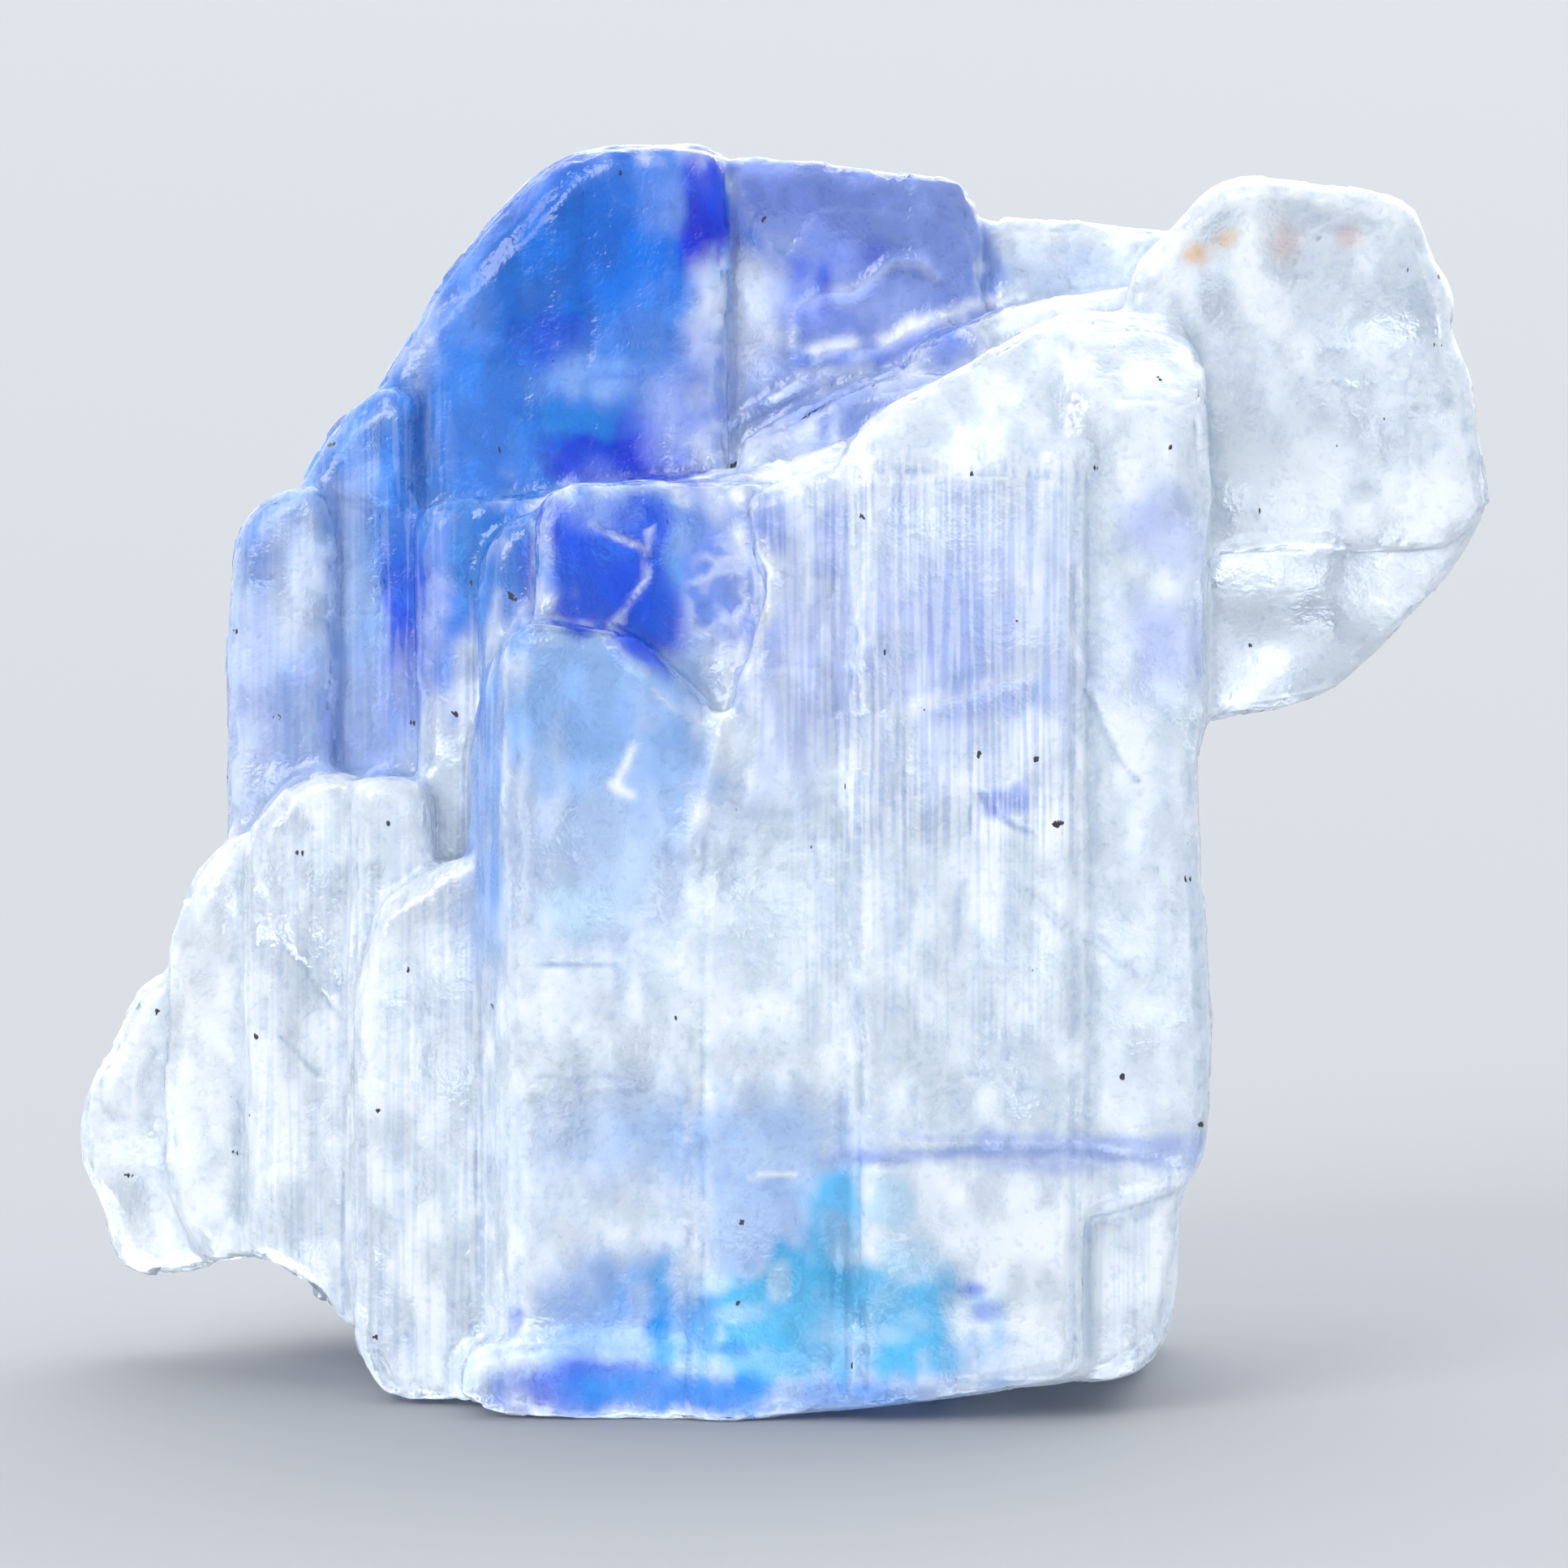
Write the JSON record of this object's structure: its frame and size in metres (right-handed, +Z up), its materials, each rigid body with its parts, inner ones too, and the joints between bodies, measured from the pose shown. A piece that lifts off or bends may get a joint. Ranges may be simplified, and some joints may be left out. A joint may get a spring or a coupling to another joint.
{
  "type": "halite crystal cluster",
  "caption": "Blocky cluster of clear to blue rock salt crystals, grown together as one mass and cut flat below, to stand on a shelf or in a display case.",
  "frame": {"origin": "on the floor under the middle of the cluster's bounding box", "axes": "+Z up from the flat base, +X to the right as seen from the front and along the longest extent, -Y to the front"},
  "size_m": [0.0452, 0.028, 0.0391],
  "materials": {
    "halite": "translucent, ice-like rock salt with a waxy sheen, blue, violet and turquoise zones, milky veils and fine cleavage lines"
  },
  "bodies": {
    "root": {"halite_cluster": "halite"}
  },
  "joints": []
}
